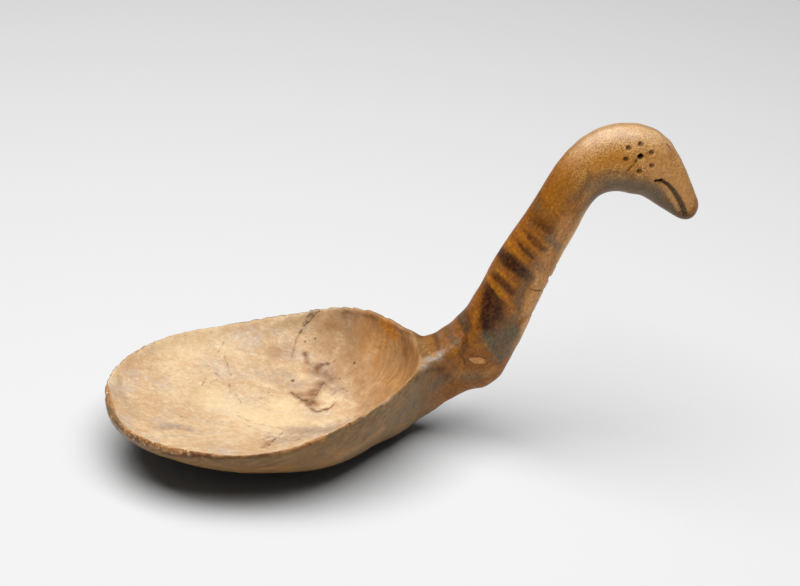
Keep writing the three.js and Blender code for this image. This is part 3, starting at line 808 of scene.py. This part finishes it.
def node(tree, kind, inputs=(), **settings):
    made = tree.nodes.new("ShaderNode" + kind)
    for setting, value in settings.items():
        setattr(made, setting, value)
    for socket, value in dict(inputs).items():
        if isinstance(value, bpy.types.NodeSocket):
            tree.links.new(value, made.inputs[socket])
        else:
            made.inputs[socket].default_value = value
    return made


def sum_of(tree, first, second, operation="ADD"):
    return node(tree, "Math", {0: first, 1: second}, operation=operation).outputs[0]


def times(tree, first, second):
    return sum_of(tree, first, second, "MULTIPLY")


def value_between(tree, share, first, second):
    return node(tree, "Mix", {0: share, 2: first, 3: second}, data_type="FLOAT").outputs[0]


def blend(tree, share, first, second, kind="MIX"):
    return node(tree, "Mix", {0: share, 6: first, 7: second}, data_type="RGBA", blend_type=kind).outputs[2]


def between(tree, value, low, high, to_low=0.0, to_high=1.0):
    ends = {0: value, 1: low, 2: high, 3: to_low, 4: to_high}
    return node(tree, "MapRange", ends, interpolation_type="SMOOTHSTEP").outputs[0]


def rest_of(tree, share):
    return sum_of(tree, 1.0, share, "SUBTRACT")


def coated(tree, colour, *coats):
    for mask, low, high, most, coat in coats:
        colour = blend(tree, between(tree, mask, low, high, 0, most), colour, coat)
    return colour


def noise(tree, vector, scale, detail=3.0, roughness=0.55, distortion=0.0):
    made = node(tree, "TexNoise", {
        "Vector": vector, "Scale": scale, "Detail": detail, "Roughness": roughness, "Distortion": distortion,
    })
    return made.outputs["Fac"]


def layer_of(tree, name):
    return node(tree, "Attribute", attribute_name=name).outputs["Fac"]


def reach_along(tree, vector, direction):
    pair = {0: vector, 1: tuple(direction)}
    return node(tree, "VectorMath", pair, operation="DOT_PRODUCT").outputs["Value"]


def mapped(tree, vector, **settings):
    return node(tree, "Mapping", {"Vector": vector, **settings}).outputs[0]


def strayed(tree, vector, mm, scale, detail, size):
    stray = node(tree, "TexNoise", {"Vector": mm, "Scale": scale, "Detail": detail}).outputs["Color"]
    stray = node(tree, "VectorMath", {0: stray, 1: (0.5, 0.5, 0.5)}, operation="SUBTRACT").outputs[0]
    stray = node(tree, "VectorMath", {0: stray, "Scale": size}, operation="SCALE").outputs[0]
    return node(tree, "VectorMath", {0: vector, 1: stray}, operation="ADD").outputs[0]


def new_finish(name):
    finish = bpy.data.materials.new(name)
    finish.use_nodes = True
    tree = finish.node_tree
    spot = node(tree, "TexCoord").outputs["Object"]
    mm = node(tree, "VectorMath", {0: spot, "Scale": float(MM)}, operation="SCALE").outputs[0]
    return finish, tree, tree.nodes["Principled BSDF"], mm


def roughen(tree, shader, height, strength, depth):
    bumped = node(tree, "Bump", {"Strength": strength, "Distance": depth, "Height": height}).outputs[0]
    tree.links.new(bumped, shader.inputs["Normal"])


# Wood grain: long fibres along the vector's X, and short dark pores among them.
grain = bpy.data.node_groups.new("wood_grain", "ShaderNodeTree")
grain.interface.new_socket("Vector", in_out="INPUT", socket_type="NodeSocketVector")
grain.interface.new_socket("Stretch", in_out="INPUT", socket_type="NodeSocketFloat")
grain.interface.new_socket("Fineness", in_out="INPUT", socket_type="NodeSocketFloat")
grain.interface.new_socket("Fibre", in_out="OUTPUT", socket_type="NodeSocketFloat")
grain.interface.new_socket("Pores", in_out="OUTPUT", socket_type="NodeSocketFloat")
grain_in = grain.nodes.new("NodeGroupInput")
grain_out = grain.nodes.new("NodeGroupOutput")
squeeze = node(grain, "CombineXYZ", {0: grain_in.outputs["Stretch"], 1: 1.0, 2: 1.0}).outputs[0]
factors = {0: grain_in.outputs["Vector"], 1: squeeze}
squeezed = node(grain, "VectorMath", factors, operation="MULTIPLY").outputs[0]
fibre = noise(grain, squeezed, grain_in.outputs["Fineness"], 4, 0.6, 0.3)
finer = times(grain, grain_in.outputs["Fineness"], 2.2)
pores = between(grain, noise(grain, squeezed, finer, 2, 0.5), 0.60, 0.74)
grain.links.new(fibre, grain_out.inputs["Fibre"])
grain.links.new(pores, grain_out.inputs["Pores"])


def grain_of(tree, vector, stretch, fineness):
    inputs = {"Vector": vector, "Stretch": stretch, "Fineness": fineness}
    made = node(tree, "Group", inputs, node_tree=grain)
    return made.outputs["Fibre"], made.outputs["Pores"]


carved_wood, tree, shader, mm = new_finish("carved_wood")
swayed = strayed(tree, mm, mm, 0.05, 2.0, 8.0)
x, y, z = node(tree, "SeparateXYZ", {0: mm}).outputs
turn = between(tree, x, -80, 40, 0.6, 1.05)
across_bowl = node(tree, "VectorRotate", {"Vector": swayed, "Angle": turn}, rotation_type="Z_AXIS").outputs[0]
bowl_fibre, bowl_pores = grain_of(tree, across_bowl, 0.13, 1.0)
wander = strayed(tree, swayed, mm, 0.09, 3.0, 9.0)
wall_axes = {0: reach_along(tree, wander, wall_run), 1: reach_along(tree, wander, wall_side), 2: 0.0}
down_wall = node(tree, "CombineXYZ", wall_axes).outputs[0]
wall_fibre, wall_pores = grain_of(tree, down_wall, 0.16, 0.36)
lengthwise = mapped(tree, swayed, Rotation=(0, math.radians(16), 0))
side_fibre, side_pores = grain_of(tree, lengthwise, 0.09, 0.5)
up_neck = mapped(tree, swayed, Rotation=(0, math.radians(56), 0))
neck_fibre, neck_pores = grain_of(tree, up_neck, 0.45, 1.0)
cloud = noise(tree, mm, 0.03, 3, 0.5)
haze = noise(tree, mapped(tree, mm, Location=(400, 90, 30)), 0.04, 3, 0.55)
mottle = noise(tree, swayed, 0.11, 4, 0.6)
speckle = noise(tree, mm, 1.4, 2, 0.6)
blotch = noise(tree, mm, 0.3, 5, 0.68)
flecks = noise(tree, mm, 0.55, 3, 0.6)
ring_line = node(tree, "CombineXYZ", {0: reach_along(tree, swayed, (0.83, 0.1, 0.56))}).outputs[0]
rings = noise(tree, ring_line, 0.3, 3, 0.6)

# Inside the bowl: cream and pale tan in clouds, going to orange-brown streaks up the end wall.
inside = blend(tree, between(tree, cloud, 0.4, 0.6), tint(232, 200, 158), tint(216, 180, 138))
inside = coated(
    tree, inside,
    (haze, 0.48, 0.64, 0.8, tint(212, 190, 168)),
    (mottle, 0.5, 0.7, 0.7, tint(212, 168, 120)),
    (mottle, 0.46, 0.3, 0.6, tint(244, 218, 176)),
    (bowl_fibre, 0.52, 0.68, 0.35, tint(186, 144, 102)),
    (bowl_fibre, 0.46, 0.32, 0.35, tint(248, 224, 184)),
    (blotch, 0.52, 0.68, 0.4, tint(196, 152, 108)),
    (blotch, 0.48, 0.33, 0.4, tint(250, 230, 196)),
    (flecks, 0.58, 0.72, 0.35, tint(246, 226, 194)),
    (flecks, 0.42, 0.3, 0.35, tint(186, 146, 108)),
)
inside = blend(tree, times(tree, bowl_pores, 0.5), inside, tint(154, 114, 78))
wall = blend(tree, between(tree, wall_fibre, 0.3, 0.72), tint(208, 152, 88), tint(168, 116, 64))
wall = coated(
    tree, wall,
    (mottle, 0.42, 0.66, 0.6, tint(170, 130, 86)),
    (wall_fibre, 0.4, 0.28, 0.3, tint(222, 170, 108)),
    (blotch, 0.5, 0.68, 0.5, tint(146, 104, 66)),
    (flecks, 0.56, 0.7, 0.35, tint(138, 98, 62)),
)
wall = blend(tree, times(tree, wall_pores, 0.2), wall, tint(110, 74, 44))
wall_share = between(tree, sum_of(tree, x, times(tree, mottle, 44)), 28, 68)
inside = blend(tree, times(tree, wall_share, 0.92), inside, wall)

# Outside: greyer brown, in long streaks.
outside = blend(tree, between(tree, side_fibre, 0.3, 0.7), tint(160, 124, 78), tint(130, 98, 60))
outside = coated(
    tree, outside,
    (mottle, 0.48, 0.7, 0.6, tint(128, 109, 80)),
    (haze, 0.5, 0.66, 0.6, tint(174, 122, 66)),
    (blotch, 0.5, 0.68, 0.3, tint(108, 84, 57)),
)
outside = blend(tree, times(tree, side_pores, 0.15), outside, tint(98, 75, 50))

# Neck and head: amber brown, ringed on the neck, speckled on the head, with a painted highlight on the head's
# top, painted shade along its crest, and painted shade with a grey stain under it.
handled = blend(tree, between(tree, neck_fibre, 0.34, 0.66), tint(178, 108, 34), tint(142, 84, 26))
handled = blend(tree, between(tree, mottle, 0.46, 0.7, 0, 0.6), handled, tint(150, 106, 60))
ringed = times(tree, between(tree, rings, 0.5, 0.66, 0, 0.5), between(tree, z, 126, 104))
handled = blend(tree, ringed, handled, tint(106, 66, 34))
head_share = times(tree, between(tree, x, 128, 152), between(tree, z, 122, 150))
head = blend(tree, between(tree, speckle, 0.36, 0.64), tint(240, 184, 108), tint(172, 108, 42))
head = blend(tree, between(tree, mottle, 0.44, 0.68, 0, 0.6), head, tint(168, 100, 30))
# A painted highlight on the head's top.
crown_highlight = blend(tree, between(tree, speckle, 0.4, 0.6), tint(244, 214, 176), tint(234, 200, 158))
on_top = layer_of(tree, "topside")
head = blend(tree, times(tree, on_top, 0.45), head, crown_highlight)
# Painted shade along the very top of the crest.
head = blend(tree, times(tree, layer_of(tree, "crest_shade"), 0.7), head, tint(184, 142, 100))
handled = blend(tree, head_share, handled, head)
specked = times(tree, between(tree, speckle, 0.54, 0.7, 0, 0.35), rest_of(tree, times(tree, on_top, 0.75)))
handled = blend(tree, specked, handled, tint(120, 74, 34))
handled = blend(tree, between(tree, flecks, 0.56, 0.72, 0, 0.3), handled, tint(214, 160, 96))
handled = blend(tree, times(tree, neck_pores, 0.25), handled, tint(104, 62, 30))
past_crook = sum_of(tree, between(tree, z, 118, 134), between(tree, x, 160, 172), "MAXIMUM")
beneath = layer_of(tree, "underside")
# Painted shade under the head, partly a grey stain.
under_head_shade_and_stain = times(tree, beneath, past_crook)
handled = blend(tree, times(tree, under_head_shade_and_stain, 0.75), handled, tint(74, 62, 45))

# The neck's finish grows out of the outside's in a ragged edge, and the hollow has its own.
neck_share = between(tree, sum_of(tree, x, times(tree, mottle, 30)), 70, 96)
pepper = noise(tree, mapped(tree, up_neck, Scale=(0.6, 1.0, 1.0)), 0.75, 4, 0.7)
streaks = noise(tree, mapped(tree, lengthwise, Scale=(0.16, 1.0, 1.0)), 0.5, 4, 0.65)
outside = blend(tree, 1.0, outside, between(tree, streaks, 0.3, 0.7, 0.8, 1.18), "MULTIPLY")
colour = blend(tree, neck_share, outside, handled)
in_bowl = between(tree, sum_of(tree, layer_of(tree, "hollow"), times(tree, mottle, 0.2)), 0.4, 0.8)
outward = rest_of(tree, in_bowl)
colour = blend(tree, in_bowl, colour, inside)

# Wear along the rim, flecked in front and thin on the far side, with painted shade along the far rim's edge;
# then stains broken up by the grain.
patchy = noise(tree, mm, 0.07, 2, 0.5)
lip_shift = between(tree, x, -96, -106, 0.0, 24.0)
far = between(tree, sum_of(tree, y, lip_shift, "SUBTRACT"), -30, 10)
ragged = sum_of(tree, times(tree, flecks, 4.0), times(tree, patchy, 7.0))
worn = sum_of(tree, layer_of(tree, "rim"), ragged)
worn = sum_of(tree, worn, between(tree, x, -30, -72, 0.6, 3.6), "SUBTRACT")
worn = sum_of(tree, worn, times(tree, far, between(tree, x, -40, -70, 3.4, 5.0)))
worn = sum_of(tree, worn, times(tree, in_bowl, between(tree, x, -86, -70, 0.0, 1.5)))
worn_and_shaded_colour = blend(tree, between(tree, blotch, 0.42, 0.58), tint(112, 68, 34), tint(180, 122, 68))
flecked = times(tree, between(tree, flecks, 0.53, 0.63), between(tree, x, -48, -74, 0.35, 1.0))
worn_and_shaded_colour = blend(tree, flecked, worn_and_shaded_colour, tint(232, 186, 128))
worn_and_shaded_colour = blend(tree, times(tree, far, 0.8), worn_and_shaded_colour, tint(204, 154, 100))
nearer = rest_of(tree, far)
worn_and_shaded_colour = blend(tree, times(tree, between(tree, x, 12, 34), nearer), worn_and_shaded_colour, tint(208, 172, 128))
# Painted shade on the far rim's edge.
worn_and_shaded_colour = blend(tree, times(tree, between(tree, x, 2, 26), far), worn_and_shaded_colour, tint(128, 86, 50))
worn_share = value_between(tree, far, between(tree, x, 48, 34), between(tree, x, 64, 56))
worn_share = times(tree, between(tree, worn, 7.6, 6.2, 0, 0.9), worn_share)
colour = blend(tree, worn_share, colour, worn_and_shaded_colour)
# Painted shade along the far rim's edge.
colour = blend(tree, times(tree, layer_of(tree, "far_edge_shade"), 0.85), colour, tint(92, 60, 34))
broken = sum_of(tree, times(tree, bowl_fibre, 0.9), times(tree, speckle, 0.7))
broken = between(tree, broken, 0.55, 1.0, 0.55, 1.15)
broken = value_between(tree, neck_share, broken, between(tree, neck_fibre, 0.3, 0.7, 0.82, 1.12))
dappled = noise(tree, mm, 0.22, 3, 0.6)
mottled = between(tree, dappled, 0.34, 0.6, 0.5, 1.15)
dappled = between(tree, dappled, 0.36, 0.6, 0.25, 1.1)
for layer, breaks, stain, second, strength in (
    ("cream", broken, tint(252, 220, 164), tint(255, 232, 186), 0.8),
    ("lilac_and_sheen", dappled, tint(172, 152, 132), tint(192, 172, 152), 0.9),
    ("shade", broken, tint(176, 132, 86), tint(160, 118, 78), 0.8),
    ("rust_and_shade", mottled, tint(148, 98, 62), tint(116, 72, 44), 0.95),
    ("tan_and_painted_light", broken, tint(230, 170, 104), tint(204, 142, 78), 0.9),
    ("olive_and_shade", broken, tint(114, 104, 82), tint(98, 88, 68), 0.95),
    ("umber_and_shade", broken, tint(64, 29, 12), tint(46, 22, 12), 0.97),
    ("amber", broken, tint(206, 136, 32), tint(176, 104, 22), 0.95),
    ("crack", broken, tint(112, 74, 46), tint(86, 54, 34), 0.9),
):
    share = times(tree, times(tree, layer_of(tree, layer), breaks), strength)
    share = node(tree, "Clamp", {0: share}).outputs[0]
    colour = blend(tree, share, colour, blend(tree, between(tree, flecks, 0.35, 0.65), stain, second))

# The neck's underside is paler, the handle is peppered, and the near-black layer goes on: specks, cracks, and
# painted shade in holes.
# Light that the outside throws on the floor is kept dark, so that the floor stays grey.
under_neck = times(tree, between(tree, beneath, 0.15, 1.0), between(tree, z, 138, 122))
under_neck = times(tree, times(tree, under_neck, between(tree, z, 46, 60)), neck_share)
under_neck = times(tree, under_neck, between(tree, x, 172, 160))
colour = blend(tree, times(tree, under_neck, 0.72), colour, tint(250, 200, 128))
peppered = between(tree, pepper, 0.34, 0.66, 0.78, 1.22)
pepper_share = sum_of(tree, neck_share, times(tree, head_share, 0.65), "SUBTRACT")
peppered = value_between(tree, pepper_share, 1.0, peppered)
colour = blend(tree, outward, colour, peppered, "MULTIPLY")
colour = blend(tree, layer_of(tree, "soot_and_shade"), colour, tint(44, 28, 20))
bounced = times(tree, node(tree, "LightPath").outputs["Is Diffuse Ray"], outward)
colour = blend(tree, times(tree, bounced, 0.85), colour, tint(20, 18, 16))
tree.links.new(colour, shader.inputs["Base Color"])
rough = sum_of(tree, between(tree, in_bowl, 0, 1, 0.40, 0.56), times(tree, mottle, 0.16))
tree.links.new(sum_of(tree, rough, 0.08, "SUBTRACT"), shader.inputs["Roughness"])
relief = sum_of(tree, times(tree, bowl_fibre, 0.5), times(tree, speckle, 0.35))
GRAIN_DEPTH = 0.0004
roughen(tree, shader, relief, 0.35, GRAIN_DEPTH)
polished = times(tree, on_top, head_share)
tree.links.new(times(tree, polished, 0.75), shader.inputs["Coat Weight"])
shader.inputs["Coat Roughness"].default_value = 0.38
shader.inputs["Specular IOR Level"].default_value = 0.22
carving.data.materials.append(carved_wood)
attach(carving, "root")
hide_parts("ladle_carving")


# The knot in the elbow's near side: a pale, hard stub of a branch, cut flush with the neck.
# It sits in a close oval seat, shrunk a little from the darker wood round it.
KNOT_VOXEL = 0.0003
KNOT_PROUD = 0.2
KNOT_GRAIN_DEPTH = 0.0003
KNOT_SPECKS = ((477.8, 362.2), (482.8, 363.4), (484.6, 360.6))
knot = copy_of_node("elbow_knot", "elbow_knot_stub")
remesh(knot, KNOT_VOXEL)
smooth(knot, 3)
places = places_of(knot) + lean(places_of(knot))
normals = normals_of(knot)
places = places + normals * (0.12 * rise_and_fall(places, 2.2))[:, None]
places[:, 1] -= dab(KNOT_PROUD, 0.3, 1.05, knot_reach(places))
put_places(knot, places)
knot_dark = np.zeros(len(places))
for speck in seen_line(*KNOT_SPECKS):
    speck_reach = np.hypot(places[:, 0] - speck[0], places[:, 2] - speck[2])
    knot_dark = np.maximum(knot_dark, dab(0.7, 0.1, 0.6, speck_reach))
keep_layer(knot, "soot_and_shade", knot_dark)
along, across = knot_axes(places)
leaf = np.hypot((along + 0.1) / 5.5, (across + 0.1) / (1.1 + 1.6 * ease(-5, 2, along)))
keep_layer(knot, "seat", ease(0.75, 1.1, leaf + 0.25 * rise_and_fall(places, 1.3)))

knot_wood, tree, shader, mm = new_finish("knot_wood")
tilted = mapped(tree, mm, Rotation=(0, KNOT_TILT, 0))
knot_fibre, knot_pores = grain_of(tree, tilted, 0.3, 1.6)
colour = blend(tree, between(tree, knot_fibre, 0.35, 0.65), tint(236, 164, 90), tint(202, 132, 64))
colour = blend(tree, times(tree, knot_pores, 0.5), colour, tint(112, 70, 36))
colour = blend(tree, layer_of(tree, "seat"), colour, tint(150, 98, 48))
colour = blend(tree, layer_of(tree, "soot_and_shade"), colour, tint(52, 32, 22))
tree.links.new(colour, shader.inputs["Base Color"])
tree.links.new(between(tree, knot_fibre, 0.3, 0.7, 0.42, 0.56), shader.inputs["Roughness"])
roughen(tree, shader, knot_fibre, 0.3, KNOT_GRAIN_DEPTH)
knot.data.materials.append(knot_wood)
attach(knot, "root")
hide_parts("elbow_knot")


# The filler in the drying split of the far rim: a grey-brown paste of dust and glue or pitch.
# It was pressed into the split in lumps and set hard, and it stands a little proud of the bowl's wall.
FILLER_VOXEL = 0.0004
BELOW_RIM = 0.2
GRIT_DEPTH = 0.0004
filler = copy_of_node("rim_split_fill", "rim_split_filler")
remesh(filler, FILLER_VOXEL)
smooth(filler, 4)
places = places_of(filler) + lean(places_of(filler))
normals = normals_of(filler)
pressed = 0.1 + 0.45 * rise_and_fall(places, 2.4) + 0.25 * rise_and_fall(places, 1.0)
places = places + normals * pressed[:, None]
places[:, 2] = np.minimum(places[:, 2], rim_height(places[:, 0]) - BELOW_RIM)
put_places(filler, places)
keep_layer(filler, "outer", ease(0.0, 0.5, normals[:, 1]))

split_filler, tree, shader, mm = new_finish("split_filler")
lumpy = noise(tree, mm, 0.5, 4, 0.6)
gritty = noise(tree, mm, 2.2, 2, 0.6)
colour = blend(tree, between(tree, lumpy, 0.36, 0.62), tint(208, 184, 152), tint(172, 146, 114))
colour = blend(tree, between(tree, gritty, 0.56, 0.7, 0, 0.5), colour, tint(122, 96, 70))
colour = blend(tree, times(tree, layer_of(tree, "outer"), 0.75), colour, tint(112, 88, 62))
tree.links.new(colour, shader.inputs["Base Color"])
tree.links.new(between(tree, gritty, 0.3, 0.7, 0.7, 0.9), shader.inputs["Roughness"])
roughen(tree, shader, gritty, 0.6, GRIT_DEPTH)
filler.data.materials.append(split_filler)
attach(filler, "root")
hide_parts("rim_split_fill")


# The setting: a plain pale floor, lit by one wide soft lamp above the ladle and a little light all round.
# The camera stands where the marks were placed from, in front of the ladle and above it.
bpy.ops.object.select_all(action="DESELECT")
FLOOR_SIZE = 8
bpy.ops.mesh.primitive_plane_add(size=FLOOR_SIZE, location=(0, 0, 0))
floor = bpy.context.object
floor.name = "pale_floor"
paper = bpy.data.materials.new("pale_paper")
paper.use_nodes = True
paper_shader = paper.node_tree.nodes["Principled BSDF"]
paper_shader.inputs["Base Color"].default_value = (0.84, 0.84, 0.84, 1)
paper_shader.inputs["Roughness"].default_value = 0.9
floor.data.materials.append(paper)

scene = bpy.context.scene
scene.view_settings.view_transform = "Standard"
world = bpy.data.worlds.new("studio")
world.use_nodes = True
sky = world.node_tree.nodes["Background"]
sky.inputs["Color"].default_value = (1, 1, 1, 1)
sky.inputs["Strength"].default_value = 0.05
scene.world = world


def aim(obj, place, target):
    direction = np.array(target) - np.array(place)
    obj.location = tuple(place)
    obj.rotation_euler = (
        math.atan2(math.hypot(direction[0], direction[1]), -direction[2]),
        0,
        math.atan2(direction[1], direction[0]) - math.pi / 2,
    )


SOFTBOX_PLACE = (-0.04, -0.05, 1.35)
SOFTBOX_TARGET = (-0.03, -0.04, 0.0)
softbox = bpy.data.objects.new("softbox", bpy.data.lights.new("softbox", "AREA"))
softbox.data.shape = "RECTANGLE"
softbox.data.size = 1.9
softbox.data.size_y = 1.2
softbox.data.energy = 27
bpy.context.collection.objects.link(softbox)
aim(softbox, SOFTBOX_PLACE, SOFTBOX_TARGET)

camera = bpy.data.objects.new("camera", bpy.data.cameras.new("camera"))
camera.data.lens = LENS
camera.data.sensor_width = SENSOR
camera.data.clip_start = 0.05
bpy.context.collection.objects.link(camera)
aim(camera, EYE_PLACE / MM, EYE_TARGET / MM)
scene.camera = camera
